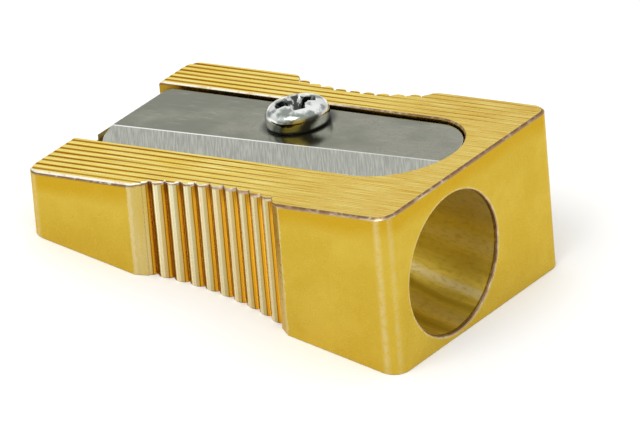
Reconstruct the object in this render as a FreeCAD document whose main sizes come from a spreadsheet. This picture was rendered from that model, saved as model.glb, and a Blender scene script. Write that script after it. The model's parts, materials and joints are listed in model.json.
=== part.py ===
# Hand-held wedge pencil sharpener: a brass body, a steel blade and the screw that holds it.
# Millimetres. The origin is under the middle of the body, on the surface it stands on.
# +X points to the end where the pencil goes in, +Z up, and the cutting edge lies on the -Y side.
import FreeCAD, Part
import Sketcher
import math
import os
from types import SimpleNamespace

Vector = FreeCAD.Vector

SIZES = [
    ("body_length", 25.45, "over all, low end to entry end"),
    ("body_width", 15.4, "across the two grips"),
    ("low_height", 3.85, "height of the low end"),
    ("corner_radius", 1.0, "upright corners"),
    ("edge_bevel", 0.16, "bevel round the sloping top"),
    ("bore_diameter", 8.0, "pencil bore at its mouth"),
    ("floor_wall", 0.33, "brass under the bore"),
    ("roof_wall", 1.13, "brass over the bore at the entry end"),
    ("near_wall", 1.7, "brass between the bore and the cutting side"),
    ("mouth_bevel", 0.1, "bevel on the rim of the bore"),
    ("grip_length", 10.3, "grip between the two end blocks"),
    ("grip_end_run", 1.0, "length of the slanted faces at the grip's ends"),
    ("grip_end_depth", 0.6, "depth of the grip at its ends"),
    ("grip_dish", 0.58, "further depth of the grip at its middle"),
    ("rib_count", 9, "ribs on each grip"),
    ("rib_depth", 0.29, "depth of the grooves between ribs"),
    ("rib_crest", 0.16, "flat left along a rib's crest"),
    ("near_ledge", 4.54, "width of the top between the cutting side and the blade's pocket"),
    ("far_ledge", 3.06, "width of the top past the pocket, on the screw's side"),
    ("pocket_end_wall", 1.75, "brass past the round end, along the slope"),
    ("rim_bevel", 0.08, "bevel on the rim of the blade pocket"),
    ("channel_width", 2.1, "chip channel beside the ledge"),
    ("channel_depth", 0.3, "chip channel below the blade's seat"),
    ("score_depth_low", 0.07, "score lines on the top, at the low end"),
    ("score_depth_entry", 0.02, "score lines on the top, at the entry end"),
    ("score_width", 0.25, "width of a score line where it is deepest"),
    ("near_scores", 8, "score lines on the ledge of the cutting side"),
    ("end_scores", 13, "score lines past the pocket's round end"),
    ("far_scores", 6, "score lines on the ledge of the far side"),
    ("blade_thickness", 0.6, "steel strip"),
    ("blade_sink", 0.2, "blade's flat below the sloping top"),
    ("end_gap", 0.12, "clearance between the blade's round end and the pocket"),
    ("side_gap", 0.27, "clearance between the blade's far side and the pocket"),
    ("blade_setback", 0.88, "blade's square end inside the low end"),
    ("blade_corner", 0.5, "rounding of the square end's far corner"),
    ("edge_corner", 1.0, "rounding of the square end's corner at the cutting edge"),
    ("grind_width", 1.71, "ground bevel of the blade"),
    ("edge_land", 0.03, "thickness left at the cutting edge"),
    ("edge_drift", 0.04, "sideways drift of the cutting edge along the blade, per mm"),
    ("screw_run", 11.55, "low end to the screw, along the slope"),
    ("screw_inset", 2.23, "screw axis from the pocket's far wall"),
    ("head_diameter", 3.6, "screw head"),
    ("head_height", 0.95, "side of the screw head"),
    ("head_dome", 0.42, "rise of the screw head's top"),
    ("head_round", 0.6, "rounded rim of the screw head"),
    ("thread_diameter", 2.0, "screw shank"),
    ("thread_engagement", 3.0, "shank held in the body"),
    ("thread_clearance", 0.05, "radial running clearance of the shank"),
    ("tip_bevel", 0.25, "bevel at the shank's tip"),
    ("hole_spare", 0.5, "screw hole past the shank's tip"),
    ("hole_play", 0.3, "radial clearance of the blade's hole"),
    ("recess_span", 2.5, "cross recess, tip to tip"),
    ("recess_width", 0.9, "width of the recess's arms"),
    ("recess_depth", 0.9, "depth of the recess below the head's crown"),
    ("recess_taper", 9.0, "draft of the recess's walls, degrees"),
    ("recess_angle", 48.0, "turn of the recess from the slope's direction, degrees"),
    ("overshoot", 0.6, "how far a cutting shape stands clear of the metal"),
]


class Measure:
    # A size that carries its number and the expression that gives it in the document.
    def __init__(self, value, text):
        self.value = value
        self.text = text

    def join(self, other, sign, value):
        text = other.text if isinstance(other, Measure) else repr(float(other))
        return Measure(value, "(%s %s %s)" % (self.text, sign, text))

    def __add__(self, other):
        return self.join(other, "+", self.value + number(other))

    def __sub__(self, other):
        return self.join(other, "-", self.value - number(other))

    def __mul__(self, other):
        return self.join(other, "*", self.value * number(other))

    def __truediv__(self, other):
        return self.join(other, "/", self.value / number(other))

    def __neg__(self):
        return Measure(-self.value, "(-%s)" % self.text)


def number(measure):
    return measure.value if isinstance(measure, Measure) else float(measure)


def root(measure):
    return Measure(math.sqrt(measure.value), "sqrt(%s)" % measure.text)


def arc_tangent(measure):
    return Measure(math.degrees(math.atan(measure.value)), "atan(%s)" % measure.text)


def arc_sine(measure):
    return Measure(math.degrees(math.asin(measure.value)), "asin(%s)" % measure.text)


def fixed(value, unit=""):
    return Measure(float(value), "%r%s" % (float(value), unit))


doc = FreeCAD.newDocument("wedge_sharpener")
sizes_sheet = doc.addObject("Spreadsheet::Sheet", "Sizes")
worked_sheet = doc.addObject("Spreadsheet::Sheet", "Worked")
size = SimpleNamespace()
for row, (alias, value, note) in enumerate(SIZES, start=1):
    sizes_sheet.set("A%d" % row, note)
    sizes_sheet.set("B%d" % row, str(value))
    sizes_sheet.setAlias("B%d" % row, alias)
    setattr(size, alias, Measure(float(value), "Sizes." + alias))
doc.recompute()
worked_rows = []


def worked(alias, measure):
    # Keeps a worked-out size as a formula in the second sheet.
    worked_rows.append(alias)
    cell = "B%d" % len(worked_rows)
    worked_sheet.set("A%d" % len(worked_rows), alias)
    worked_sheet.set(cell, "=" + measure.text)
    worked_sheet.setAlias(cell, alias)
    doc.recompute()
    return Measure(measure.value, "Worked." + alias)


# The body is a drawn bar sawn into wedges. Its walls stand square to the wedge's middle plane, so they
# lean by half the slope of the top.
one = fixed(1)
half_length = worked("half_length", size.body_length / 2)
half_width = worked("half_width", size.body_width / 2)
bore_radius = worked("bore_radius", size.bore_diameter / 2)
entry_height = worked("entry_height", size.floor_wall + size.bore_diameter + size.roof_wall)
end_heights = entry_height + size.low_height
squares = size.body_length * size.body_length - (entry_height - size.low_height) * end_heights
lean_rise = worked("lean_rise", (size.body_length - root(squares)) / end_heights)
lean = worked("lean", arc_tangent(lean_rise))
lean_cos = worked("lean_cos", one / root(lean_rise * lean_rise + 1))
bar_middle = worked("bar_middle", size.low_height * lean_rise / 2)
bar_half = worked("bar_half", (half_length - bar_middle) * lean_cos)

# The sloping top, and the frame that lies in it: u up the slope, v across, w out of the metal.
rise = worked("rise", lean_rise * 2 / (one - lean_rise * lean_rise))
slope = worked("slope", lean * 2)
slope_cos = worked("slope_cos", one / root(rise * rise + 1))
slope_sin = worked("slope_sin", rise * slope_cos)
top_middle = worked("top_middle", size.low_height + rise * half_length)
low_end = worked("low_end", -half_length / slope_cos)
entry_end = worked("entry_end", (half_length - entry_height * lean_rise) / slope_cos)

# The blade's pocket, and what sits in it.
seat_depth = worked("seat_depth", size.blade_sink + size.blade_thickness)
pocket_near = worked("pocket_near", size.near_ledge - half_width)
pocket_far = worked("pocket_far", half_width - size.far_ledge)
pocket_middle = worked("pocket_middle", (pocket_near + pocket_far) / 2)
pocket_radius = worked("pocket_radius", (pocket_far - pocket_near) / 2)
pocket_centre = worked("pocket_centre", entry_end - size.pocket_end_wall - pocket_radius)
screw_u = worked("screw_u", low_end + size.screw_run)
screw_v = worked("screw_v", pocket_far - size.screw_inset)
shank_radius = worked("shank_radius", size.thread_diameter / 2)
head_radius = worked("head_radius", size.head_diameter / 2)

# The bore runs level. Its cone has the top's slope, and its crest lies in the plane of the blade's seat.
bore_height = worked("bore_height", size.floor_wall + bore_radius)
bore_side = worked("bore_side", size.near_wall + bore_radius - half_width)
cone_tip = worked("cone_tip", (bore_height - top_middle + seat_depth / slope_cos) / rise)
guide_start = worked("guide_start", cone_tip + bore_radius / rise)

# The cutting edge crosses the bore's axis near the blade's middle.
edge_turn = worked("edge_turn", arc_tangent(size.edge_drift))
edge_cos = worked("edge_cos", one / root(size.edge_drift * size.edge_drift + 1))

# The grips: a dish with the ribs spread along it, one groove more than there are ribs.
grip_end_x = worked("grip_end_x", size.grip_length / 2 - size.grip_end_run)
grip_end_y = worked("grip_end_y", half_width - size.grip_end_depth)
dish_radius = worked("dish_radius", (grip_end_x * grip_end_x / size.grip_dish + size.grip_dish) / 2)
dish_centre = worked("dish_centre", grip_end_y - size.grip_dish + dish_radius)
dish_half_angle = worked("dish_half_angle", arc_sine(grip_end_x / dish_radius))
rib_pitch = worked("rib_pitch", grip_end_x * 2 / size.rib_count)
rib_radius = worked("rib_radius", (rib_pitch * rib_pitch / 4 / size.rib_depth + size.rib_depth) / 2)

sub_parts = []


def new_body(label):
    body = doc.addObject("PartDesign::Body", label)
    body.Label = label
    sub_parts.append(body)
    return body


def bind(item, path, measure):
    item.setExpression(path, measure.text)


def new_sketch(body, name, role, shift=(), turn=None):
    plane = next(item for item in body.Origin.OriginFeatures if item.Role == role)
    return attach(body.newObject("Sketcher::SketchObject", name), plane, shift, turn)


def attach(sketch, plane, shift=(), turn=None):
    # Lays a sketch on a plane, moved by shift and turned about an axis of that plane.
    sketch.AttachmentSupport = [(plane, "")]
    sketch.MapMode = "FlatFace"
    offset = FreeCAD.Placement()
    if turn:
        axis, angle = turn
        offset.Rotation = FreeCAD.Rotation(axis, angle.value)
    sketch.AttachmentOffset = offset
    for letter, distance in shift:
        bind(sketch, "AttachmentOffset.Base." + letter, distance)
    if turn:
        bind(sketch, "AttachmentOffset.Rotation.Angle", angle)
    return sketch


def top_sketch(body, name):
    # A sketch in the plane of the sloping top, in u and v.
    return new_sketch(body, name, "XY_Plane", [("z", top_middle)], (Vector(0, -1, 0), slope))


def new_bar_plane(body):
    # The plane square to the leaning walls, through the foot of the bar's middle.
    base = next(item for item in body.Origin.OriginFeatures if item.Role == "XY_Plane")
    plane = body.newObject("PartDesign::Plane", "bar_plane")
    return attach(plane, base, [("x", bar_middle)], (Vector(0, -1, 0), lean))


def bar_sketch(body, name, shift=(), turn=None):
    # A sketch of the bar's own section.
    plane = next(item for item in body.Group if item.Name == "bar_plane")
    return attach(body.newObject("Sketcher::SketchObject", name), plane, shift, turn)


def locate(sketch, geometry, end, x=None, y=None):
    # Dimensions a point from the sketch's origin.
    for kind, measure in (("DistanceX", x), ("DistanceY", y)):
        if measure is not None:
            index = sketch.addConstraint(Sketcher.Constraint(kind, -1, 1, geometry, end, measure.value))
            bind(sketch, "Constraints[%d]" % index, measure)


def set_radius(sketch, geometry, measure):
    index = sketch.addConstraint(Sketcher.Constraint("Radius", geometry, measure.value))
    bind(sketch, "Constraints[%d]" % index, measure)


def add_line(sketch, first, last):
    ends = [Vector(number(x), number(y), 0) for x, y in (first, last)]
    return sketch.addGeometry(Part.LineSegment(*ends))


def add_arc(sketch, centre, first, last):
    # An arc that runs anticlockwise from first to last.
    middle, start, stop = [Vector(number(x), number(y), 0) for x, y in (centre, first, last)]
    angles = [math.atan2(point.y - middle.y, point.x - middle.x) for point in (start, stop)]
    circle = Part.Circle(middle, Vector(0, 0, 1), (start - middle).Length)
    return sketch.addGeometry(Part.ArcOfCircle(circle, *angles))


def add_circle(sketch, x, y, radius):
    circle = Part.Circle(Vector(x.value, y.value, 0), Vector(0, 0, 1), radius.value)
    geometry = sketch.addGeometry(circle)
    locate(sketch, geometry, 3, x, y)
    set_radius(sketch, geometry, radius)


def join_ends(sketch, pairs):
    for first, first_end, second, second_end in pairs:
        sketch.addConstraint(Sketcher.Constraint("Coincident", first, first_end, second, second_end))


def add_polygon(sketch, points):
    lines = [add_line(sketch, *pair) for pair in zip(points, points[1:] + points[:1])]
    join_ends(sketch, [(a, 2, b, 1) for a, b in zip(lines, lines[1:] + lines[:1])])
    for line, (x, y) in zip(lines, points):
        locate(sketch, line, 1, x, y)


def feature(body, kind, name, profile):
    item = body.newObject("PartDesign::" + kind, name)
    item.Profile = profile
    return item


def cut_through(body, name, profile):
    # A cut right through the body, both ways from its sketch.
    cut = feature(body, "Pocket", name, profile)
    cut.SideType = "Symmetric"
    cut.Type = "ThroughAll"
    return check_cut(body, cut)


def cut_down(body, name, profile, depth):
    cut = feature(body, "Pocket", name, profile)
    bind(cut, "Length", depth)
    return check_cut(body, cut)


def check_cut(body, cut):
    doc.recompute()
    before = cut.BaseFeature.Shape.Volume
    if not cut.Shape.Volume < before:
        raise RuntimeError("%s of %s removed nothing" % (cut.Name, body.Label))
    return cut


def edges_where(shape, wanted):
    # Names of the edges whose two ends and middle all satisfy the test.
    names = []
    for index, edge in enumerate(shape.Edges, start=1):
        first, last = edge.ParameterRange
        spots = [edge.valueAt(first + share * (last - first)) for share in (0, 0.5, 1)]
        if all(wanted(spot) for spot in spots):
            names.append("Edge%d" % index)
    return names


def dress(body, kind, name, edges, path, measure):
    # A Fillet or Chamfer of the named edges of the body so far.
    base = body.Tip
    item = body.newObject("PartDesign::" + kind, name)
    item.Base = (base, edges)
    bind(item, path, measure)
    doc.recompute()
    return item


def in_top(spot):
    # A point's u, v and w in the frame of the sloping top.
    run = spot.x * slope_cos.value + (spot.z - top_middle.value) * slope_sin.value
    out = (spot.z - top_middle.value) * slope_cos.value - spot.x * slope_sin.value
    return run, spot.y, out


def close(first, second):
    return abs(first - number(second)) < 1e-5


def in_bar(spot):
    # A point's place along the bar's section, from its middle.
    lean_sin = lean_rise.value * lean_cos.value
    return (spot.x - bar_middle.value) * lean_cos.value + spot.z * lean_sin


def block(body):
    # A bar with rounded corners, sawn to the wedge and bevelled round the top.
    new_bar_plane(body)
    plan = bar_sketch(body, "plan")
    x, y = bar_half, half_width
    add_polygon(plan, [(-x, -y), (x, -y), (x, y), (-x, y)])
    bar = feature(body, "Pad", "bar", plan)
    bar.SideType = "Symmetric"
    bind(bar, "Length", (entry_height + size.overshoot) * 2)
    doc.recompute()
    corner_edges = edges_where(bar.Shape, lambda p: close(abs(in_bar(p)), x) and close(abs(p.y), y))
    dress(body, "Fillet", "corners", corner_edges, "Radius", size.corner_radius)

    reach = size.body_length
    climb = rise * reach
    roof = top_middle + climb + size.body_length
    sole = new_sketch(body, "sole", "XZ_Plane")
    level = fixed(0)
    add_polygon(sole, [(-reach, -reach), (reach, -reach), (reach, level), (-reach, level)])
    cut_through(body, "sole_cut", sole)
    top = new_sketch(body, "top", "XZ_Plane")
    slope_line = [(-reach, top_middle - climb), (reach, top_middle + climb)]
    add_polygon(top, slope_line + [(reach, roof), (-reach, roof)])
    cut_through(body, "top_cut", top)
    rim = edges_where(body.Tip.Shape, lambda p: close(in_top(p)[2], 0))
    dress(body, "Chamfer", "top_bevel", rim, "Size", size.edge_bevel)


def grip(body, name, facing):
    # A shallow dish with slanted ends and upright ribs, cut into one long side.
    # It is drawn for the -Y side, and facing turns it to the side it is on.
    upright = Vector(0, 0, 1)
    dish = bar_sketch(body, name + "_dish", (), (upright, facing))
    ends = [(-grip_end_x, -grip_end_y), (grip_end_x, -grip_end_y)]
    flare = size.grip_end_run / size.grip_end_depth
    out_x = size.grip_length / 2 + flare * size.overshoot
    out_y = half_width + size.overshoot
    outer = [(-out_x, -out_y), (out_x, -out_y)]
    arc = add_arc(dish, (0, -dish_centre), ends[1], ends[0])
    route = [ends[0], outer[0], outer[1], ends[1]]
    lines = [add_line(dish, *pair) for pair in zip(route, route[1:])]
    join_ends(dish, [(arc, 2, lines[0], 1), (lines[0], 2, lines[1], 1)])
    join_ends(dish, [(lines[1], 2, lines[2], 1), (lines[2], 2, arc, 1)])
    locate(dish, lines[0], 1, *ends[0])
    locate(dish, lines[2], 2, *ends[1])
    locate(dish, lines[1], 1, *outer[0])
    locate(dish, lines[1], 2, *outer[1])
    set_radius(dish, arc, dish_radius)
    cut_through(body, name + "_dish_cut", dish)

    # One groove between two ribs, drawn about the centre of the dish and repeated round it.
    out = -1 if facing.value == 0 else 1
    start = dish_half_angle + facing
    groove = bar_sketch(body, name + "_groove", [("y", dish_centre * out)], (upright, start))
    half_mouth = (rib_pitch - size.rib_crest) / 2
    lip = dish_radius - size.overshoot
    bottom = (0, dish_radius + size.rib_depth)
    flank = rib_pitch / 2 - half_mouth
    shoulder = dish_radius + rib_radius - root(rib_radius * rib_radius - flank * flank)
    flanks = []
    for hand in (-1, 1):
        centre = (rib_pitch / 2 * hand, dish_radius + rib_radius)
        crest = (half_mouth * hand, shoulder)
        flanks.append(add_arc(groove, centre, *((crest, bottom) if hand < 0 else (bottom, crest))))
        locate(groove, flanks[-1], 3, *centre)
        set_radius(groove, flanks[-1], rib_radius)
    corners = [(half_mouth, shoulder), (half_mouth, lip), (-half_mouth, lip), (-half_mouth, shoulder)]
    walls = [add_line(groove, *pair) for pair in zip(corners, corners[1:])]
    route = flanks + walls
    join_ends(groove, [(a, 2, b, 1) for a, b in zip(route, route[1:] + route[:1])])
    locate(groove, walls[0], 1, corners[0][0])
    locate(groove, walls[1], 1, *corners[1])
    locate(groove, walls[1], 2, *corners[2])
    locate(groove, walls[2], 2, corners[3][0])
    cut = cut_through(body, name + "_groove_cut", groove)

    ribs = body.newObject("PartDesign::PolarPattern", name + "_ribs")
    ribs.Originals = [cut]
    ribs.Axis = (groove, ["N_Axis"])
    ribs.Reversed = True
    bind(ribs, "Angle", dish_half_angle * 2)
    bind(ribs, "Occurrences", size.rib_count + 1)
    body.Tip = ribs
    doc.recompute()


def round_ended(sketch, start, far=None):
    # Plan, in u and v, of a cut that follows the round end of the blade's pocket.
    # With no far side of its own it runs off the round end smoothly.
    near_v = pocket_middle - pocket_radius
    far_v, far_u = pocket_middle + pocket_radius, pocket_centre
    if far is not None:
        across = far - pocket_middle
        far_v, far_u = far, pocket_centre + root(pocket_radius * pocket_radius - across * across)
    arc = add_arc(sketch, (pocket_centre, pocket_middle), (pocket_centre, near_v), (far_u, far_v))
    near_line = add_line(sketch, (start, near_v), (pocket_centre, near_v))
    far_line = add_line(sketch, (far_u, far_v), (start, far_v))
    open_end = add_line(sketch, (start, far_v), (start, near_v))
    join_ends(sketch, [(near_line, 2, arc, 1), (arc, 2, far_line, 1)])
    join_ends(sketch, [(far_line, 2, open_end, 1), (open_end, 2, near_line, 1)])
    locate(sketch, arc, 3, pocket_centre, pocket_middle)
    set_radius(sketch, arc, pocket_radius)
    locate(sketch, open_end, 1, start)
    for line, way in ((near_line, "Horizontal"), (far_line, "Horizontal"), (open_end, "Vertical")):
        sketch.addConstraint(Sketcher.Constraint(way, line))
    sketch.addConstraint(Sketcher.Constraint("Vertical", arc, 3, arc, 1))
    if far is None:
        sketch.addConstraint(Sketcher.Constraint("Vertical", arc, 3, arc, 2))
    else:
        locate(sketch, arc, 2, None, far)


def blade_pocket(body):
    # The seat of the blade, the deeper chip channel along its near wall, and the bevelled rim.
    open_end = low_end - size.overshoot
    seat = top_sketch(body, "seat")
    round_ended(seat, open_end)
    cut_down(body, "seat_cut", seat, seat_depth)
    channel = top_sketch(body, "channel")
    round_ended(channel, open_end, pocket_near + size.channel_width)
    cut_down(body, "channel_cut", channel, seat_depth + size.channel_depth)

    def on_rim(spot):
        run, across, out = in_top(spot)
        from_centre = math.hypot(run - pocket_centre.value, across - pocket_middle.value)
        on_wall = close(across, pocket_near) or close(across, pocket_far)
        on_end = run > pocket_centre.value and close(from_centre, pocket_radius)
        return close(out, 0) and (on_wall or on_end)

    dress(body, "Chamfer", "rim", edges_where(body.Tip.Shape, on_rim), "Size", size.rim_bevel)


def pencil_bore(body):
    # A short straight guide and a cone, with a bevel on the rim of the leaning entry face.
    profile = new_sketch(body, "bore", "XZ_Plane", [("y", bore_height), ("z", -bore_side)])
    mouth = half_length + size.overshoot
    axis = fixed(0)
    wall = [(mouth, bore_radius), (guide_start, bore_radius)]
    add_polygon(profile, [(cone_tip, axis), (mouth, axis)] + wall)
    cut = feature(body, "Groove", "bore_cut", profile)
    cut.ReferenceAxis = (profile, ["H_Axis"])
    cut.Angle = 360
    check_cut(body, cut)

    def on_mouth(spot):
        from_axis = math.hypot(spot.y - bore_side.value, spot.z - bore_height.value)
        return close(in_bar(spot), bar_half) and close(from_axis, bore_radius)

    dress(body, "Chamfer", "mouth", edges_where(cut.Shape, on_mouth), "Size", size.mouth_bevel)


def screw_hole(body):
    circle = top_sketch(body, "screw_hole")
    add_circle(circle, screw_u, screw_v, shank_radius + size.thread_clearance)
    depth = seat_depth + size.thread_engagement + size.hole_spare
    cut_down(body, "screw_hole_cut", circle, depth)


def score_lines(body, name, start, stop, count):
    # Shallow lengthwise lines in one zone of the top. They fade towards the entry end.
    pitch = (stop - start) / count
    fade = (size.score_depth_low - size.score_depth_entry) / (entry_end - low_end)
    depth = size.score_depth_low + fade * low_end
    tilt = -arc_tangent(fade) - slope
    line = new_sketch(body, name, "YZ_Plane", [("y", top_middle)], (Vector(1, 0, 0), tilt))
    half_mouth = size.score_width / 2 * (size.overshoot + depth) / size.score_depth_low
    middle = start + pitch / 2
    mouth = size.overshoot
    add_polygon(line, [(middle, -depth), (middle + half_mouth, mouth), (middle - half_mouth, mouth)])
    cut = cut_through(body, name + "_cut", line)
    lines = body.newObject("PartDesign::LinearPattern", name + "_lines")
    lines.Originals = [cut]
    lines.Direction = (line, ["H_Axis"])
    bind(lines, "Length", pitch * (count - 1))
    bind(lines, "Occurrences", count)
    body.Tip = lines
    doc.recompute()


def set_on_top(body, u, v, w):
    # Places a body drawn square to the sloping top.
    body.Placement = FreeCAD.Placement(Vector(0, 0, 0), FreeCAD.Rotation(Vector(0, -1, 0), slope.value))
    bind(body, "Placement.Base.x", u * slope_cos - w * slope_sin)
    bind(body, "Placement.Base.y", v)
    bind(body, "Placement.Base.z", top_middle + u * slope_sin + w * slope_cos)
    bind(body, "Placement.Rotation.Angle", slope)


def make_body():
    body = new_body("body")
    block(body)
    grip(body, "near_grip", fixed(0, " deg"))
    grip(body, "far_grip", fixed(180, " deg"))
    blade_pocket(body)
    pencil_bore(body)
    screw_hole(body)
    zones = [
        ("near_score", size.edge_bevel - half_width, pocket_near - size.rim_bevel, size.near_scores),
        ("end_score", pocket_near + size.rim_bevel, pocket_far - size.rim_bevel, size.end_scores),
        ("far_score", pocket_far + size.rim_bevel, half_width - size.edge_bevel, size.far_scores),
    ]
    for zone in zones:
        score_lines(body, *zone)


def blade_outline(sketch):
    # A square end with rounded corners, a round end that follows the pocket's, and the drifting edge.
    far_corner, near_corner = size.blade_corner, size.edge_corner
    drift = size.edge_drift
    square_end = low_end + size.blade_setback
    near_u = square_end + near_corner
    near_v = bore_side + near_u * drift + near_corner / edge_cos
    near_start = (near_u + near_corner * drift * edge_cos, near_v - near_corner * edge_cos)

    radius = pocket_radius - size.end_gap
    offset = bore_side + pocket_centre * drift - pocket_middle
    stretch = drift * drift + 1
    run = (root(stretch * radius * radius - offset * offset) - offset * drift) / stretch
    near_end = (pocket_centre + run, pocket_middle + offset + drift * run)
    across = pocket_radius - size.side_gap
    far_v = pocket_middle + across
    far_start = (pocket_centre + root(radius * radius - across * across), far_v)
    far_end = (square_end + far_corner, far_v)
    end_start = (square_end, far_v - far_corner)
    end_stop = (square_end, near_v)

    sides = [(near_start, near_end), (far_start, far_end), (end_start, end_stop)]
    lines = [add_line(sketch, *side) for side in sides]
    arcs = [
        add_arc(sketch, (pocket_centre, pocket_middle), near_end, far_start),
        add_arc(sketch, (far_end[0], end_start[1]), far_end, end_start),
        add_arc(sketch, (near_u, near_v), end_stop, near_start),
    ]
    for line, arc, following, side in zip(lines, arcs, lines[1:] + lines[:1], sides):
        join_ends(sketch, [(line, 2, arc, 1), (arc, 2, following, 1)])
        locate(sketch, line, 1, *side[0])
        locate(sketch, line, 2, *side[1])
    for arc, arc_radius in zip(arcs, (radius, far_corner, near_corner)):
        set_radius(sketch, arc, arc_radius)


def make_blade():
    # A flat strip, ground along its cutting edge.
    body = new_body("blade")
    outline = new_sketch(body, "outline", "XY_Plane")
    blade_outline(outline)
    strip = feature(body, "Pad", "strip", outline)
    bind(strip, "Length", size.blade_thickness)
    doc.recompute()
    grind = new_sketch(body, "grind", "YZ_Plane", (), (Vector(0, 1, 0), edge_turn))
    edge = bore_side * edge_cos
    steepness = (size.blade_thickness - size.edge_land) / size.grind_width
    near, far = edge - size.overshoot, edge + size.grind_width + size.overshoot
    low = size.edge_land - steepness * size.overshoot
    high = size.blade_thickness + steepness * size.overshoot
    add_polygon(grind, [(near, low), (far, high), (near, high)])
    cut_through(body, "grind_cut", grind)
    hole = new_sketch(body, "hole", "XY_Plane")
    add_circle(hole, screw_u, screw_v, shank_radius + size.hole_play)
    cut_through(body, "hole_cut", hole)
    set_on_top(body, fixed(0), fixed(0), -seat_depth)


def make_screw():
    # Turned head and shank, then the cross recess in the domed top.
    body = new_body("blade_screw")
    profile = new_sketch(body, "profile", "XZ_Plane")
    axis = fixed(0)
    tip = -size.blade_thickness - size.thread_engagement
    crown = size.head_height + size.head_dome
    dome_radius = (head_radius * head_radius / size.head_dome + size.head_dome) / 2
    points = [(axis, crown), (axis, tip), (shank_radius - size.tip_bevel, tip)]
    points += [(shank_radius, tip + size.tip_bevel), (shank_radius, axis), (head_radius, axis)]
    points += [(head_radius, size.head_height)]
    lines = [add_line(profile, *pair) for pair in zip(points, points[1:])]
    dome = add_arc(profile, (axis, crown - dome_radius), points[-1], points[0])
    join_ends(profile, [(a, 2, b, 1) for a, b in zip(lines, lines[1:])])
    join_ends(profile, [(lines[-1], 2, dome, 1), (dome, 2, lines[0], 1)])
    for line, point in zip(lines, points):
        locate(profile, line, 1, *point)
    locate(profile, lines[-1], 2, *points[-1])
    set_radius(profile, dome, dome_radius)
    turned = feature(body, "Revolution", "turned", profile)
    turned.ReferenceAxis = (profile, ["V_Axis"])
    turned.Angle = 360
    doc.recompute()

    def at_rim(spot):
        return close(math.hypot(spot.x, spot.y), head_radius) and close(spot.z, size.head_height)

    dress(body, "Fillet", "rim", edges_where(turned.Shape, at_rim), "Radius", size.head_round)
    cross = new_sketch(body, "recess", "XY_Plane", [("z", crown)], (Vector(0, 0, 1), size.recess_angle))
    arm, half = size.recess_span / 2, size.recess_width / 2
    quarter = [(half, -half), (arm, -half), (arm, half)]
    points = []
    for turn in range(4):
        points += quarter
        quarter = [(-y, x) for x, y in quarter]
    add_polygon(cross, points)
    cut = cut_down(body, "recess_cut", cross, size.recess_depth)
    bind(cut, "TaperAngle", -size.recess_taper)
    set_on_top(body, screw_u, screw_v, -size.blade_sink)


def write_sub_parts():
    doc.recompute()
    failed = [item.Name for item in doc.Objects if {"Invalid", "Error"} & set(item.State)]
    failed += [body.Label for body in sub_parts if body.Shape.isNull() or not body.Shape.isValid()]
    if failed:
        raise RuntimeError("failed: " + ", ".join(failed))
    os.makedirs("parts", exist_ok=True)
    for body in sub_parts:
        body.Shape.exportStep("parts/%s.step" % body.Label)
        solids = len(body.Shape.Solids)
        print("%s: %d solid, %.3f mm3" % (body.Label, solids, body.Shape.Volume))


make_body()
make_blade()
make_screw()
write_sub_parts()
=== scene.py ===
import json
import math

import bmesh
import bpy
from mathutils import Matrix, Vector


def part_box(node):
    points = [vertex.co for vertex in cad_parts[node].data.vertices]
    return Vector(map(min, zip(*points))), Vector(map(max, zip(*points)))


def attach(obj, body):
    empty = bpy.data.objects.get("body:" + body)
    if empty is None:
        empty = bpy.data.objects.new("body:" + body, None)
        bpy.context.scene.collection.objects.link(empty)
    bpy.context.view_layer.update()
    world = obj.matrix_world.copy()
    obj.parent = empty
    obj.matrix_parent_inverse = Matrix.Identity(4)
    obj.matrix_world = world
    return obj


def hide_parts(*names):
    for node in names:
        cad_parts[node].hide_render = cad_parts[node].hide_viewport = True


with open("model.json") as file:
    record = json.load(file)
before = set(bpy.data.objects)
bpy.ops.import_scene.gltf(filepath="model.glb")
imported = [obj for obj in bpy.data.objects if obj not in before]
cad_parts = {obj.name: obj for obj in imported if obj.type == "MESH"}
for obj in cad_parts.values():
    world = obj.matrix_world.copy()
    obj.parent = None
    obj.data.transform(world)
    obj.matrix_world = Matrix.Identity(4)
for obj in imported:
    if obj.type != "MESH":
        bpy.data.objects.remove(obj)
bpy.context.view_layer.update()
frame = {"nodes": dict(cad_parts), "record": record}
scene = bpy.context.scene
mm = 0.001
joints = {joint["name"]: joint for joint in frame["record"]["behaviour"]["joints"]}
mounts = {mount["name"]: mount for mount in frame["record"]["mounts"]}
print("frame loaded:", ", ".join(sorted(frame["nodes"])))

# the wedge, in millimetres: its slope and the screw's seat come from the frame
screwAxis = Vector(joints["screw_turn"]["axis"]).normalized()
screwSeat = Vector(joints["screw_turn"]["pos_m"])
wedge = {
    "bladeSink": 0.2,  # blade's face below the sloping top
    "halfWidth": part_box("body")[1][1] / mm,
    "halfLength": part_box("body")[1][0] / mm,
    "barMiddle": 0.2187,  # the leaning bar's middle, towards the entry end
    "nearLedge": 4.54,  # the top's strips on the two sides of the pocket
    "farLedge": 3.06,
}
slope = math.asin(-screwAxis.x)
lean = slope / 2  # the walls lean by half the slope
topLevel = (screwSeat / mm).dot(screwAxis) + wedge["bladeSink"]
topOrigin = (-topLevel * math.tan(slope), 0, -topLevel)
upSlope = Vector((math.cos(slope), 0, math.sin(slope)))
screwSpot = ((screwSeat / mm).dot(upSlope) + topOrigin[0], screwSeat.y / mm)
barMiddle = wedge["barMiddle"] * math.cos(lean)
barHalf = wedge["halfLength"] * math.cos(lean) - barMiddle
pocketMiddle = (wedge["nearLedge"] - wedge["farLedge"]) / 2
pocketHalf = wedge["halfWidth"] - (wedge["nearLedge"] + wedge["farLedge"]) / 2


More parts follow.
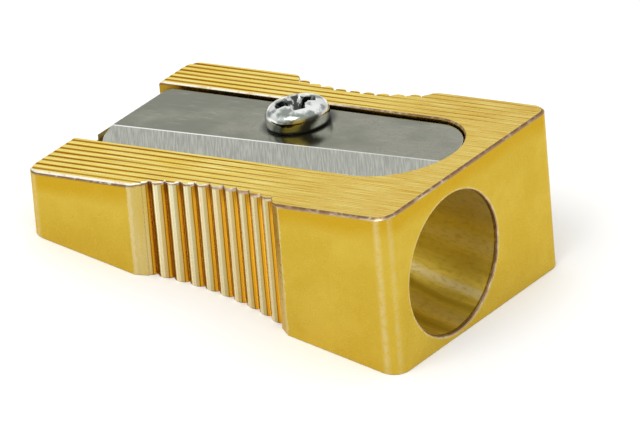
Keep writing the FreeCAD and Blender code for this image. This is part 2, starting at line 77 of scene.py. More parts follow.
def addNode(tree, kind, inputs=None, **settings):
    item = tree.nodes.new("ShaderNode" + kind)
    for key, value in settings.items():
        setattr(item, key, value)
    for key, value in (inputs or {}).items():
        if isinstance(value, bpy.types.NodeSocket):
            tree.links.new(value, item.inputs[key])
        else:
            item.inputs[key].default_value = value
    return item


def calc(tree, operation, first, second=0.0, third=0.0):
    inputs = {0: first, 1: second, 2: third}
    return addNode(tree, "Math", inputs, operation=operation).outputs[0]


def both(tree, first, *others):
    for other in others:
        first = calc(tree, "MULTIPLY", first, other)
    return first


def either(tree, first, second):
    return calc(tree, "MAXIMUM", first, second)


def inverse(tree, value):
    return calc(tree, "SUBTRACT", 1.0, value)


def distance(tree, a, b):
    return calc(tree, "SQRT", calc(tree, "ADD", both(tree, a, a), both(tree, b, b)))


def ease(tree, value, low, high, toLow=0.0, toHigh=1.0):
    # a soft step from low to high, which may run either way
    inputs = {"Value": value, "From Min": low, "From Max": high, "To Min": toLow, "To Max": toHigh}
    return addNode(tree, "MapRange", inputs, interpolation_type="SMOOTHSTEP").outputs["Result"]


def near(tree, value, middle, reach, soft):
    # one close to the middle value, nought past its reach
    off = calc(tree, "ABSOLUTE", calc(tree, "SUBTRACT", value, middle))
    return ease(tree, off, reach, reach - soft)


def nearAngle(tree, angle, middle, reach, soft):
    # the same for an angle, with the limits in degrees
    return near(tree, angle, math.radians(middle), math.radians(reach), math.radians(soft))


def tint(tree, share, first, second):
    item = addNode(tree, "Mix", data_type="RGBA")
    for slot, value in ((0, share), (6, first), (7, second)):
        if isinstance(value, bpy.types.NodeSocket):
            tree.links.new(value, item.inputs[slot])
        else:
            item.inputs[slot].default_value = value if slot == 0 else (*value, 1.0)
    return item.outputs[2]


def ramp(tree, value, stops):
    # tones along a value from nought to one
    item = addNode(tree, "ValToRGB", {"Fac": value})
    marks = item.color_ramp.elements
    for mark, (place, tone) in zip(marks, (stops[0], stops[-1])):
        mark.position = place
        mark.color = (*tone, 1.0)
    for place, tone in stops[1:-1]:
        marks.new(place).color = (*tone, 1.0)
    return item.outputs["Color"]


def grain(tree, coords, stretch=(1, 1, 1), detail=3.0):
    # noise in millimetres, fine along an axis where stretch is large
    drawn = addNode(tree, "Mapping", {"Vector": coords, "Scale": stretch}).outputs[0]
    inputs = {"Vector": drawn, "Scale": 1.0, "Detail": detail, "Roughness": 0.55}
    return addNode(tree, "TexNoise", inputs).outputs["Fac"]


def split(tree, vector):
    return addNode(tree, "SeparateXYZ", {"Vector": vector}).outputs


def dot(tree, first, second):
    return addNode(tree, "VectorMath", {0: first, 1: second}, operation="DOT_PRODUCT").outputs["Value"]


def inMillimetres(tree, place, turn=0.0, origin=(0, 0, 0)):
    # the piece's own coordinates, turned about the axis across the wedge and moved
    inputs = {"Vector": place, "Rotation": (0, turn, 0), "Scale": (1 / mm,) * 3, "Location": origin}
    return addNode(tree, "Mapping", inputs).outputs[0]


def toWorld(tree, x, y, z):
    # a normal given in the piece's own directions
    made = addNode(tree, "CombineXYZ", {0: x, 1: y, 2: z}).outputs[0]
    settings = {"vector_type": "NORMAL", "convert_from": "OBJECT", "convert_to": "WORLD"}
    return addNode(tree, "VectorTransform", {"Vector": made}, **settings).outputs[0]


def blendNormals(tree, share, first, second):
    return addNode(tree, "Mix", {0: share, 4: first, 5: second}, data_type="VECTOR").outputs[1]


def findEdges(tree, radius):
    # corners rounded in the shading, and a value that falls below one on them
    rounded = addNode(tree, "Bevel", {"Radius": radius * mm}, samples=6).outputs[0]
    return rounded, dot(tree, rounded, addNode(tree, "NewGeometry").outputs["Normal"])


def newMetal(name, roughness, edgeTint=(1.0, 1.0, 1.0)):
    made = bpy.data.materials.new(name)
    made.use_nodes = True
    shader = made.node_tree.nodes["Principled BSDF"]
    shader.inputs["Metallic"].default_value = 1.0
    shader.inputs["Roughness"].default_value = roughness
    shader.inputs["Specular Tint"].default_value = (*edgeTint, 1.0)
    return made, made.node_tree, shader


def addRelief(tree, shader, strength, depth, height, normal):
    inputs = {"Strength": strength, "Distance": depth * mm, "Height": height, "Normal": normal}
    tree.links.new(addNode(tree, "Bump", inputs).outputs[0], shader.inputs["Normal"])


def dress(piece, material):
    piece.data.materials.clear()
    piece.data.materials.append(material)


brass = {
    "roughness": 0.3,
    "edgeTint": (1.0, 0.90, 0.60),
    "edgeRadius": 0.06,
    "reliefDepth": 0.01,
    "side": (0.555, 0.380, 0.040),
    "sideLight": (0.600, 0.425, 0.056),
    "underEdge": (0.535, 0.330, 0.018),
    "speck": (0.36, 0.22, 0.03),
    "land": (1.000, 0.790, 0.150),
    "landHighlight": (1.000, 0.930, 0.370),
    "landDeep": (0.640, 0.360, 0.020),
    "landEntry": (0.735, 0.505, 0.100),
    "score": (0.320, 0.120, 0.000),
    "wornWhiteHighlight": (0.97, 0.92, 0.80),
    "wornPale": (0.66, 0.54, 0.36),
    "wornPink": (0.37, 0.235, 0.14),
    "tarnishAndShadowLine": (0.19, 0.105, 0.055),
    "cream": (0.66, 0.55, 0.27),
    "olive": (0.25, 0.13, 0.008),
    "topFacing": (0.77, 0.81),  # how squarely the top faces out of the slope, against its bevels
    "topDepth": (-0.16, -0.12),
    "bevelFacing": 0.70,
    "bevelDepth": (-0.22, -0.18),
    "wallShade": (-1.3, -0.2),  # below the sloping top: a deeper tone comes in over this stretch
    "wallLine": (-0.25, -0.19),  # and a painted shadow line over this one, at the low end
    "wallLineEnds": (-1.0, -4.0),
    "brushedEnd": 9.0,  # up the slope: only brushed here, fully scored at the other
    "scoredEnd": -7.0,
    "scoreDepth": 0.020,
    "scoreFlank": 0.875,  # how squarely the sides of a score face out of the top
    "shallowDepth": 0.012,  # the far strip's scores run on towards the entry end, shallower
    "shallowFrom": 0.0,
    "shallowTo": 6.0,
    "wornTurn": (-3.0, 4.0),  # up the slope: rubbed white turns to brown over this stretch
}


def brassWall(tree, inBar, u, w):
    # drawn walls: nearly even, faint upright draw marks, deeper just under the top edge, with a painted
    # shadow line under the bevel at the low end
    cloud = ease(tree, grain(tree, inBar, (0.3, 0.3, 0.3)), 0.38, 0.66)
    colour = tint(tree, cloud, brass["side"], brass["sideLight"])
    drawMarks = ease(tree, grain(tree, inBar, (5, 5, 0.12)), 0.55, 0.75, 0.0, 0.4)
    colour = tint(tree, drawMarks, colour, brass["sideLight"])
    specks = ease(tree, grain(tree, inBar, (5.5, 5.5, 5.5), 2.0), 0.70, 0.78, 0.0, 0.45)
    colour = tint(tree, specks, colour, brass["speck"])
    under = ease(tree, calc(tree, "MULTIPLY_ADD", cloud, 0.5, w), *brass["wallShade"])
    colour = tint(tree, under, colour, brass["underEdge"])
    # painted shadow line just under the bevel, at the low end
    line = both(
        tree,
        ease(tree, w, *brass["wallLine"]),
        ease(tree, u, *brass["wallLineEnds"]),
        ease(tree, cloud, 0.0, 1.0, 0.9, 0.5),
    )
    return tint(tree, line, colour, brass["tarnishAndShadowLine"])


def brassTop(tree, onTop, u, v, w, facing):
    # milled top: pale lands with painted highlight streaks and cut scores darkened with painted shade at
    # the low end, only finely brushed at the entry end
    low = ease(tree, u, brass["brushedEnd"], brass["scoredEnd"])
    streak = grain(tree, onTop, (0.10, 5.5, 0.0))
    fine = grain(tree, onTop, (0.30, 22.0, 0.0))
    colour = tint(tree, low, brass["landEntry"], brass["land"])
    deep = both(tree, ease(tree, streak, 0.50, 0.38), ease(tree, low, 0.0, 1.0, 0.25, 0.5))
    colour = tint(tree, deep, colour, brass["landDeep"])
    # painted highlight streaks on the lands, strongest at the low end
    shine = both(tree, ease(tree, fine, 0.47, 0.57), ease(tree, low, 0.0, 1.0, 0.5, 1.0))
    colour = tint(tree, shine, colour, brass["landHighlight"])
    dull = both(tree, ease(tree, fine, 0.47, 0.38), ease(tree, low, 0.0, 1.0, 0.8, 0.2))
    colour = tint(tree, dull, colour, brass["landDeep"])
    # painted shade on the scores' sloping sides
    flankShade = both(
        tree,
        near(tree, facing, brass["scoreFlank"], 0.085, 0.03),
        ease(tree, low, 0.0, 1.0, 0.1, 0.8),
    )
    colour = tint(tree, flankShade, colour, brass["landDeep"])
    # painted shade in the cuts, and in the far strip's shallower ones
    scored = both(
        tree,
        ease(tree, w, -0.003, -brass["scoreDepth"]),
        ease(tree, low, 0.0, 0.7, 0.25, 1.0),
        ease(tree, streak, 0.62, 0.46, 0.6, 1.0),
    )
    farStrip = pocketMiddle + pocketHalf
    shallow = both(
        tree,
        ease(tree, w, -0.001, -brass["shallowDepth"]),
        ease(tree, v, farStrip - 0.6, farStrip),
        ease(tree, u, brass["shallowFrom"], brass["shallowTo"], 0.0, 0.8),
    )
    return tint(tree, either(tree, scored, shallow), colour, brass["score"]), fine


def brassWorn(tree, onTop, u, w):
    # bevels: rubbed white with a painted highlight and a painted shadow line along the lower side at the
    # low end, brown and pinkish white at the entry end
    patch = grain(tree, onTop, (0.7, 0.7, 0.7), 4.0)
    fleck = grain(tree, onTop, (2.2, 2.2, 2.2), 4.0)
    entry = ease(tree, u, *brass["wornTurn"])
    entryTone = tint(tree, ease(tree, patch, 0.34, 0.56), brass["wornPale"], brass["wornPink"])
    # low end: rubbed white and painted highlight, with dark flecks
    lowTone = tint(tree, ease(tree, fleck, 0.50, 0.62, 0.0, 0.45), brass["wornWhiteHighlight"], brass["landDeep"])
    colour = tint(tree, entry, lowTone, entryTone)
    upperSide = both(tree, entry, ease(tree, w, -0.14, -0.06), ease(tree, fleck, 0.36, 0.54, 0.2, 0.9))
    colour = tint(tree, upperSide, colour, brass["tarnishAndShadowLine"])
    low = inverse(tree, entry)
    # painted shadow line along the bevel's lower side at the low end
    lowerShadowLine = both(tree, low, ease(tree, w, -0.08, -0.11), ease(tree, fleck, 0.30, 0.50, 0.45, 0.95))
    return tint(tree, lowerShadowLine, colour, brass["tarnishAndShadowLine"])


# the ribbed hollow on each side, between two slanted faces
grip = {
    "halfLength": 5.15,
    "ribsReach": 4.15,
    "innermost": 5.9,  # nothing of the hollow lies closer to the middle
    "dishRadius": 15.137,
    "dishCentre": 21.657,
    "ribDepth": 0.29,
    "slantTurn": math.atan2(0.6, 1.0),  # depth and run of the slanted ends
    "slantFade": (-1.5, -5.0),  # below the sloping top: the slants turn paler over this stretch
    "slant": (0.555, 0.405, 0.095),
    "slantShade": (0.45, 0.29, 0.055),
    # rib tones from shoulder to foot stand in for highlights, reflections and shade across each rib
    "shoulder": (0.92, 0.84, 0.58),
    "crest": (0.47, 0.45, 0.265),
    "crestWarm": (0.53, 0.40, 0.16),
    "tan": (0.52, 0.37, 0.12),
    "amber": (0.66, 0.31, 0.012),
    "orange": (1.00, 0.53, 0.050),
    "foot": (0.17, 0.06, 0.005),
}


def gripMask(tree, lengthways, sideways, facing):
    return both(
        tree,
        ease(tree, lengthways, grip["halfLength"] + 0.02, grip["halfLength"] - 0.02),
        ease(tree, sideways, wedge["halfWidth"] - 0.005, wedge["halfWidth"] - 0.025),
        ease(tree, sideways, grip["innermost"] - 0.1, grip["innermost"]),
        ease(tree, facing, 0.6, 0.5),
    )


def brassRibs(tree, inBar, along, across, turned, w):
    # each rib in painted highlights and shade: grey crest to a painted orange reflection down its entry
    # side, a painted highlight on the shoulder over painted shade on the other
    aside = calc(tree, "SUBTRACT", grip["dishCentre"], calc(tree, "ABSOLUTE", across))
    depth = calc(tree, "SUBTRACT", distance(tree, along, aside), grip["dishRadius"])
    tilt = calc(tree, "MULTIPLY_ADD", along, 1 / grip["dishRadius"], turned)
    toEntry = ease(tree, tilt, -0.05, 0.05)
    waver = calc(tree, "MULTIPLY_ADD", grain(tree, inBar, (0.8, 0.8, 0.25)), 0.16, -0.08)
    share = calc(tree, "MULTIPLY_ADD", depth, 1 / grip["ribDepth"], waver)
    warm = ease(tree, grain(tree, inBar, (0.7, 0.7, 0.06), 2.0), 0.40, 0.56)
    drawn = ease(tree, grain(tree, inBar, (9, 9, 0.12), 2.0), 0.42, 0.70, 0.0, 0.7)
    down = (
        (0.0, grip["crest"]), (0.07, grip["crest"]), (0.17, grip["tan"]), (0.22, grip["tan"]),
        (0.27, brass["olive"]), (0.32, brass["olive"]), (0.39, grip["amber"]), (0.55, grip["amber"]),
        (0.68, grip["orange"]), (0.86, grip["orange"]), (1.0, grip["foot"]),
    )
    other = (
        (0.0, grip["shoulder"]), (0.09, grip["shoulder"]), (0.17, grip["tan"]), (0.26, grip["foot"]),
        (1.0, grip["foot"]),
    )
    entrySide = ramp(tree, share, down)
    onCrest = ease(tree, share, 0.25, 0.1)
    entrySide = tint(tree, both(tree, onCrest, warm), entrySide, grip["crestWarm"])
    entrySide = tint(tree, both(tree, onCrest, drawn, drawn), entrySide, grip["tan"])
    colour = tint(tree, toEntry, ramp(tree, share, other), entrySide)
    # painted shade in the grooves, deeper towards the top
    shaded = both(tree, ease(tree, share, 0.3, 0.5), ease(tree, w, *brass["wallShade"], 0.0, 0.6))
    colour = tint(tree, shaded, colour, grip["foot"])

    # the slant facing the low end takes a painted shade
    slant = tint(tree, toEntry, grip["slantShade"], grip["slant"])
    slant = tint(tree, calc(tree, "MULTIPLY", drawn, 0.5), slant, brass["cream"])
    slant = tint(tree, ease(tree, w, *grip["slantFade"], 0.0, 0.35), slant, brass["cream"])
    pastRibs = ease(tree, calc(tree, "ABSOLUTE", along), grip["ribsReach"], grip["ribsReach"] + 0.05)
    slantFace = either(tree, ease(tree, depth, -0.015, -0.035), both(tree, pastRibs, onCrest))
    step = both(tree, slantFace, ease(tree, calc(tree, "ABSOLUTE", turned), 0.75, 0.85))
    return tint(tree, slantFace, colour, slant), ease(tree, share, 0.12, 0.05), step


def slantNormal(tree, turned, across):
    # the narrow step beside the grip's slanted end is shaded as part of the slant
    forward, aside = calc(tree, "SIGN", turned), calc(tree, "SIGN", across)
    leanOver = math.sin(grip["slantTurn"])
    return toWorld(
        tree,
        calc(tree, "MULTIPLY", forward, leanOver * math.cos(lean)),
        calc(tree, "MULTIPLY", aside, math.cos(grip["slantTurn"])),
        calc(tree, "MULTIPLY", forward, leanOver * math.sin(lean)),
    )


# painted highlight lines down the rounded upright corners: one by the side wall, and a fainter one by the
# end face
corner = {
    "sideLine": 0.31,  # where the round has turned this far towards the end face
    "sideReach": 0.27,
    "endLine": 0.86,
    "endReach": 0.12,
    "endShare": 0.6,
    "fromEnd": 1.0,
    "fromSide": 1.05,
}


def cornerHighlights(tree, turned, lengthways, sideways, facing, ragged):
    turn = calc(tree, "ABSOLUTE", turned)
    sideLine = near(tree, turn, corner["sideLine"], corner["sideReach"], corner["sideReach"] - 0.01)
    endLine = near(tree, turn, corner["endLine"], corner["endReach"], corner["endReach"] - 0.01)
    start, inner = barHalf - corner["fromEnd"], wedge["halfWidth"] - corner["fromSide"]
    return both(
        tree,
        either(tree, sideLine, calc(tree, "MULTIPLY", endLine, corner["endShare"])),
        ease(tree, lengthways, start, start + 0.05),
        ease(tree, sideways, inner, inner + 0.1),
        ease(tree, facing, 0.6, 0.5),
        ease(tree, ragged, 0.3, 0.6, 0.15, 0.55),
    )


bore = {
    "side": mounts["pencil_bore"]["pos_m"][1] / mm,
    "height": mounts["pencil_bore"]["pos_m"][2] / mm,
    "radius": mounts["pencil_bore"]["dims"]["r_mm"],
    "guideStart": 10.3075,
    "guideBlend": (1.6, -3.0),  # the cone's tilt is shaded in between these, from the guide's start
    "rim": 0.1,
    "lip": 0.16,  # dark line just inside the rim
    "roughness": 0.46,
    "tone": (0.88, 0.71, 0.135),
    "light": (0.84, 0.75, 0.42),
    "dark": (0.50, 0.365, 0.030),
    # bands of painted reflection along the bore
    # degrees from the top, half width in degrees, strength
    "lightReflectionBands": ((64, 36, 0.75), (104, 12, 0.5), (142, 7, 0.85), (171, 8, 0.35)),
    "darkReflectionBands": ((126, 10, 0.3), (155, 8, 0.9), (187, 10, 0.8)),
}


def boreMask(tree, x, fromAxis):
    cone = calc(tree, "SUBTRACT", x, bore["guideStart"])
    cone = calc(tree, "MULTIPLY_ADD", cone, math.tan(slope), bore["radius"])
    wall = calc(tree, "MINIMUM", cone, bore["radius"])
    return near(tree, calc(tree, "SUBTRACT", fromAxis, wall), -0.01, 0.07, 0.02)


def boreReflectionBands(tree, angle, bands):
    # soft lengthwise bands of painted reflection
    total = 0.0
    for middle, reach, strength in bands:
        mark = calc(tree, "MULTIPLY", nearAngle(tree, angle, middle, reach, reach), strength)
        total = either(tree, mark, total)
    return total


def unrolled(tree, x, angle, lengthScale, roundScale):
    # the bore's wall laid out flat
    parts = {0: calc(tree, "MULTIPLY", x, lengthScale), 1: calc(tree, "MULTIPLY", angle, roundScale)}
    return addNode(tree, "CombineXYZ", parts).outputs[0]


def brassBore(tree, x, dy, dz):
    # angle round the bore from its top, carried on past the bottom
    angle = calc(tree, "ARCTAN2", dy, dz)
    angle = calc(tree, "MULTIPLY_ADD", calc(tree, "LESS_THAN", angle, -1.0), 2 * math.pi, angle)
    waver = grain(tree, unrolled(tree, x, angle, 0.08, 4.0))
    angle = calc(tree, "ADD", angle, calc(tree, "MULTIPLY_ADD", waver, 0.3, -0.15))
    colour = tint(tree, ease(tree, waver, 0.3, 0.7, 0.0, 0.5), bore["tone"], bore["dark"])
    colour = tint(tree, boreReflectionBands(tree, angle, bore["darkReflectionBands"]), colour, bore["dark"])
    colour = tint(tree, boreReflectionBands(tree, angle, bore["lightReflectionBands"]), colour, bore["light"])
    specks = grain(tree, unrolled(tree, x, angle, 2.5, 24.0), detail=2.0)
    return tint(tree, ease(tree, specks, 0.45, 0.72, 0.0, 0.4), colour, bore["dark"])


def boreNormal(tree, x, dy, dz, fromAxis):
    # the cone runs out softly into the straight guide
    ends = [bore["guideStart"] + step for step in bore["guideBlend"]]
    tilt = ease(tree, x, *ends, 0.0, math.sin(slope))
    inward = calc(tree, "DIVIDE", -1.0, fromAxis)
    return toWorld(tree, tilt, calc(tree, "MULTIPLY", dy, inward), calc(tree, "MULTIPLY", dz, inward))


def boreEdges(tree, along, fromAxis, normal, ragged):
    # a dark lip just inside, the rubbed rim, and a pale ring round it on the end face
    rimStart = barHalf - bore["rim"]
    lip = both(
        tree,
        ease(tree, along, rimStart - bore["lip"], rimStart - bore["lip"] / 2),
        ease(tree, ragged, 0.3, 0.5, 0.5, 0.95),
    )
    endwards = calc(tree, "ABSOLUTE", dot(tree, normal, (math.cos(lean), 0, math.sin(lean))))
    rim = both(
        tree,
        near(tree, fromAxis, bore["radius"] + bore["rim"] / 2, 0.075, 0.015),
        ease(tree, along, rimStart - 0.03, rimStart - 0.01),
        ease(tree, endwards, 0.96, 0.9),
    )
    ring = both(
        tree,
        near(tree, fromAxis, bore["radius"] + bore["rim"] + 0.02, 0.09, 0.06),
        ease(tree, along, barHalf - 0.03, barHalf - 0.01),
        ease(tree, ragged, 0.35, 0.6, 0.2, 0.7),
    )
    return lip, rim, ring


# the blade's pocket, up the slope and down from the sloping top
pocket = {
    "margin": 0.05,
    "roundEnd": 10.3,
    "rim": -0.12,
    "deep": -0.3,  # full shade from here down
    "floor": -1.3,
    "openEnd": -12.5,
    "fullShade": -8.5,  # full shade from here on, away from the open end
    "tone": (0.06, 0.045, 0.02),
}


def pocketShade(tree, u, v, w):
    # dark below its rim, less so at the open end, where the far side is the lighter one
    inside = both(
        tree,
        near(tree, v, pocketMiddle, pocketHalf + pocket["margin"], 0.03),
        ease(tree, u, pocket["roundEnd"], pocket["roundEnd"] - 0.1),
        ease(tree, w, pocket["rim"], pocket["deep"]),
        ease(tree, w, pocket["floor"], pocket["floor"] + 0.1),
    )
    openShade = ease(tree, v, 0.5, -0.5, 0.35, 0.85)
    fullShade = ease(tree, u, pocket["openEnd"], pocket["fullShade"])
    return both(tree, inside, either(tree, openShade, fullShade))


def makeBrass():
    made, tree, shader = newMetal("brass", brass["roughness"], brass["edgeTint"])
    source = addNode(tree, "TexCoord")
    place, normal = source.outputs["Object"], source.outputs["Normal"]
    onTop = inMillimetres(tree, place, slope, topOrigin)  # up the slope, across, out of the sloping top
    inBar = inMillimetres(tree, place, lean)  # along the bar, across, up its leaning walls
    u, v, w = split(tree, onTop)
    shifted, across = split(tree, inBar)[:2]
    along = calc(tree, "SUBTRACT", shifted, barMiddle)
    sideways, lengthways = calc(tree, "ABSOLUTE", across), calc(tree, "ABSOLUTE", along)
    facing = dot(tree, normal, tuple(screwAxis))
    turned = split(tree, normal)[0]
    ragged = grain(tree, inBar, (3, 3, 3), 4.0)

    # walls, grips and the milled top
    inGrip = gripMask(tree, lengthways, sideways, facing)
    isTop = both(tree, ease(tree, facing, *brass["topFacing"]), ease(tree, w, *brass["topDepth"]))
    ribs, ribCrests, gripStep = brassRibs(tree, inBar, along, across, turned, w)
    colour = tint(tree, inGrip, brassWall(tree, inBar, u, w), ribs)
    topColour, fine = brassTop(tree, onTop, u, v, w, facing)
    colour = tint(tree, isTop, colour, topColour)

    # pale edges: sharp corners outside the grips, the ribs' crests and the grips' ends, then painted
    # highlight lines down the upright corners
    rounded, bend = findEdges(tree, brass["edgeRadius"])
    edge = both(tree, ease(tree, bend, 0.995, 0.93), ease(tree, ragged, 0.36, 0.56))
    edge = both(tree, edge, either(tree, ribCrests, inverse(tree, inGrip)))
    colour = tint(tree, calc(tree, "MULTIPLY", edge, 0.75), colour, brass["cream"])
    uneven = calc(tree, "MULTIPLY_ADD", ragged, 0.3, calc(tree, "SUBTRACT", lengthways, 0.15))
    gripEdge = both(
        tree,
        near(tree, uneven, grip["halfLength"] - 0.04, 0.15, 0.1),
        ease(tree, sideways, wedge["halfWidth"] - 0.3, wedge["halfWidth"] - 0.2),
        ease(tree, facing, 0.5, 0.4),
    )
    colour = tint(tree, calc(tree, "MULTIPLY", gripEdge, 0.7), colour, brass["cream"])
    cornerHighlight = cornerHighlights(tree, turned, lengthways, sideways, facing, ragged)
    colour = tint(tree, cornerHighlight, colour, brass["cream"])

    # bore, with its lip, rim and ring
    x, y, z = split(tree, inMillimetres(tree, place))
    dy, dz = calc(tree, "SUBTRACT", y, bore["side"]), calc(tree, "SUBTRACT", z, bore["height"])
    fromAxis = distance(tree, dy, dz)
    isBore = boreMask(tree, x, fromAxis)
    lip, rim, ring = boreEdges(tree, along, fromAxis, normal, ragged)
    colour = tint(tree, isBore, colour, brassBore(tree, x, dy, dz))
    colour = tint(tree, both(tree, isBore, lip), colour, brass["olive"])
    colour = tint(tree, ring, colour, brass["cream"])

    # painted shade in the pocket, then the rubbed bevels with their painted highlight and shadow line,
    # rib tops and rim over everything
    notBore = inverse(tree, isBore)
    inPocket = both(tree, pocketShade(tree, u, v, w), notBore)
    colour = tint(tree, inPocket, colour, pocket["tone"])
    isBevel = near(tree, facing, brass["bevelFacing"], 0.09, 0.02)
    isBevel = both(tree, isBevel, ease(tree, w, *brass["bevelDepth"]))
    ribTops = both(tree, inGrip, ease(tree, calc(tree, "MULTIPLY_ADD", ragged, 0.2, w), -0.16, -0.04))
    rubbed = either(tree, both(tree, either(tree, isBevel, ribTops), notBore), rim)
    rubbed = both(tree, rubbed, inverse(tree, inPocket))
    colour = tint(tree, rubbed, colour, brassWorn(tree, onTop, u, w))
    tree.links.new(colour, shader.inputs["Base Color"])

    rough = ease(tree, isBore, 0.0, 1.0, brass["roughness"], bore["roughness"])
    rough = calc(tree, "ADD", rough, ease(tree, ragged, 0.3, 0.7, -0.04, 0.05))
    tree.links.new(rough, shader.inputs["Roughness"])
    smooth = blendNormals(tree, isBore, rounded, boreNormal(tree, x, dy, dz, fromAxis))
    smooth = blendNormals(tree, both(tree, inGrip, gripStep), smooth, slantNormal(tree, turned, across))
    drawn = grain(tree, inBar, (9, 9, 0.2))
    relief = calc(tree, "MULTIPLY_ADD", drawn, 0.5, both(tree, fine, isTop))
    addRelief(tree, shader, 0.25, brass["reliefDepth"], relief, smooth)
    return made


dress(frame["nodes"]["body"], makeBrass())
print("brass done")

steel = {
    "flat": (0.305, 0.31, 0.235),
    "flatDark": (0.205, 0.21, 0.155),
    "flatRoughness": 0.14,
    "flatFacing": (0.965, 0.985),  # ground bevel below the first, flat above the second
    "contactShadow": (0.012, 0.012, 0.010),
    "shadowStart": 1.8,  # painted contact shadow: a dark ring on the blade, out from the edge of the screw's head
    "shadowReach": 0.5,
    "ground": (0.48, 0.485, 0.43),
    "groundDark": (0.34, 0.345, 0.305),
    "groundRoughness": 0.36,
    "grindTurn": -36.9,
    "reliefDepth": 0.01,
    "line": (0.95, 0.96, 0.93),
    "ridge": -0.289,  # where the ground bevel meets the flat, across the blade's middle
    "drift": 0.04,
    "ridgeHighlightReach": 0.06,
    "ridgeHighlightEnds": (8.0, -6.0),  # up the slope: the painted ridge highlight brightens from the first to the second
    "edgeRadius": 0.07,
}


def steelFlat(tree, onTop, u):
    # rolled flat: cloudy, lighter towards the entry end, speckled and finely scratched
    cloud = grain(tree, onTop, (0.22, 0.3, 0.3))
    lighter = calc(tree, "MULTIPLY_ADD", u, 0.012, cloud)
    colour = tint(tree, ease(tree, lighter, 0.36, 0.62), steel["flatDark"], steel["flat"])
    speckle = ease(tree, grain(tree, onTop, (7, 7, 7)), 0.48, 0.70, 0.0, 0.6)
    colour = tint(tree, speckle, colour, steel["flatDark"])
    scratch = ease(tree, grain(tree, onTop, (0.5, 9.0, 0.0), 2.0), 0.58, 0.72, 0.0, 0.4)
    return tint(tree, scratch, colour, steel["ground"])


def makeSteel():
    made, tree, shader = newMetal("bladeSteel", steel["flatRoughness"])
    source = addNode(tree, "TexCoord")
    onTop = inMillimetres(tree, source.outputs["Object"], slope, topOrigin)
    u, v = split(tree, onTop)[:2]
    facing = dot(tree, source.outputs["Normal"], tuple(screwAxis))
    grindTurn = (0, 0, math.radians(steel["grindTurn"]))
    turned = addNode(tree, "Mapping", {"Vector": onTop, "Rotation": grindTurn}).outputs[0]
    grind = grain(tree, turned, (13.0, 0.8, 0.0))
    ground = tint(tree, ease(tree, grind, 0.36, 0.66), steel["groundDark"], steel["ground"])
    colour = tint(tree, ease(tree, facing, *steel["flatFacing"]), ground, steelFlat(tree, onTop, u))
    # painted contact shadow round the screw's head
    du, dv = calc(tree, "SUBTRACT", u, screwSpot[0]), calc(tree, "SUBTRACT", v, screwSpot[1])
    fromHead = calc(tree, "SUBTRACT", distance(tree, du, dv), steel["shadowStart"])
    contactShadow = ease(tree, fromHead, steel["shadowReach"], 0.02, 0.0, 0.9)
    colour = tint(tree, contactShadow, colour, steel["contactShadow"])

    # painted highlight along the ridge, stronger at the low end, and bright edges
    fromRidge = calc(tree, "SUBTRACT", calc(tree, "MULTIPLY_ADD", u, -steel["drift"], v), steel["ridge"])
    ridgeHighlight = near(tree, fromRidge, 0.0, steel["ridgeHighlightReach"], steel["ridgeHighlightReach"] / 2)
    ridgeHighlight = both(tree, ridgeHighlight, ease(tree, u, *steel["ridgeHighlightEnds"], 0.5, 1.0))
    rounded, bend = findEdges(tree, steel["edgeRadius"])
    edge = ease(tree, bend, 0.985, 0.90)
    colour = tint(tree, either(tree, ridgeHighlight, edge), colour, steel["line"])
    tree.links.new(colour, shader.inputs["Base Color"])
    rough = ease(tree, facing, *steel["flatFacing"], steel["groundRoughness"], steel["flatRoughness"])
    tree.links.new(rough, shader.inputs["Roughness"])
    addRelief(tree, shader, 0.25, steel["reliefDepth"], grind, rounded)
    return made


dress(frame["nodes"]["blade"], makeSteel())
print("blade done")

# the screw stands for the CAD one: same head and length, with the thread cut and the recess punched
screw = {
    "headRadius": 1.8,
    "headHeight": 0.95,
    "dome": 0.42,
    "rimRound": 0.6,
    "underBevel": 0.03,
    "underRing": 0.35,  # a ring of points under the head, in from its edge
    "domeSteps": 24,
    "rimSteps": 12,
    "threadRadius": 1.0,
    "length": 3.6,
    "pitch": 0.4,
    "threadDepth": 0.22,
    "threadRound": 0.8,
    "runOut": (0.15, 0.35),  # plain length under the head, then the length over which the thread deepens
    "tipBevel": 0.25,
    "around": 72,
    "ringsPerTurn": 14,
    "recessSpan": 2.65,
    "recessWidth": 0.9,
    "recessDepth": 0.9,
    "recessTurn": 48.0,
    "smallWings": (0.66, 0.5, 0.6),  # span, width and depth of the wings between, against the large ones
    "punchTop": 0.3,  # the punch's height over the crown
    "punchFlare": 1.12,
    "footSpan": 0.36,
    "footWidth": 0.62,
    "punchRound": 0.07,
    "sharpFrom": 32,  # degrees between faces
    "plating": (0.80, 0.82, 0.80),
    "dullReflection": (0.25, 0.28, 0.255),
    "darkReflectionAndShade": (0.055, 0.050, 0.035),
    "warmReflection": (0.36, 0.28, 0.06),
    "recess": (0.055, 0.06, 0.055),
    "roughness": 0.09,
    "edgeRadius": 0.03,
    "reliefDepth": 0.08,
    "sideFrom": (2.4, 2.7),  # distances from the axis, squared
    "recessWithin": (2.3, 2.0),
    "sideReflectionBands": (  # painted reflections round the head's side: bearing and half width in degrees, tone
        (-126, 26, "plating"), (-98, 15, "dullReflection"), (-70, 20, "warmReflection"), (-11, 27, "plating"),
        (27, 13, "dullReflection"), (70, 22, "warmReflection"), (110, 14, "plating"), (156, 22, "dullReflection"),
    ),
}
crownHeight = screw["headHeight"] + screw["dome"]
domeRadius = (screw["headRadius"] ** 2 / screw["dome"] + screw["dome"]) / 2
domeCentre = crownHeight - domeRadius


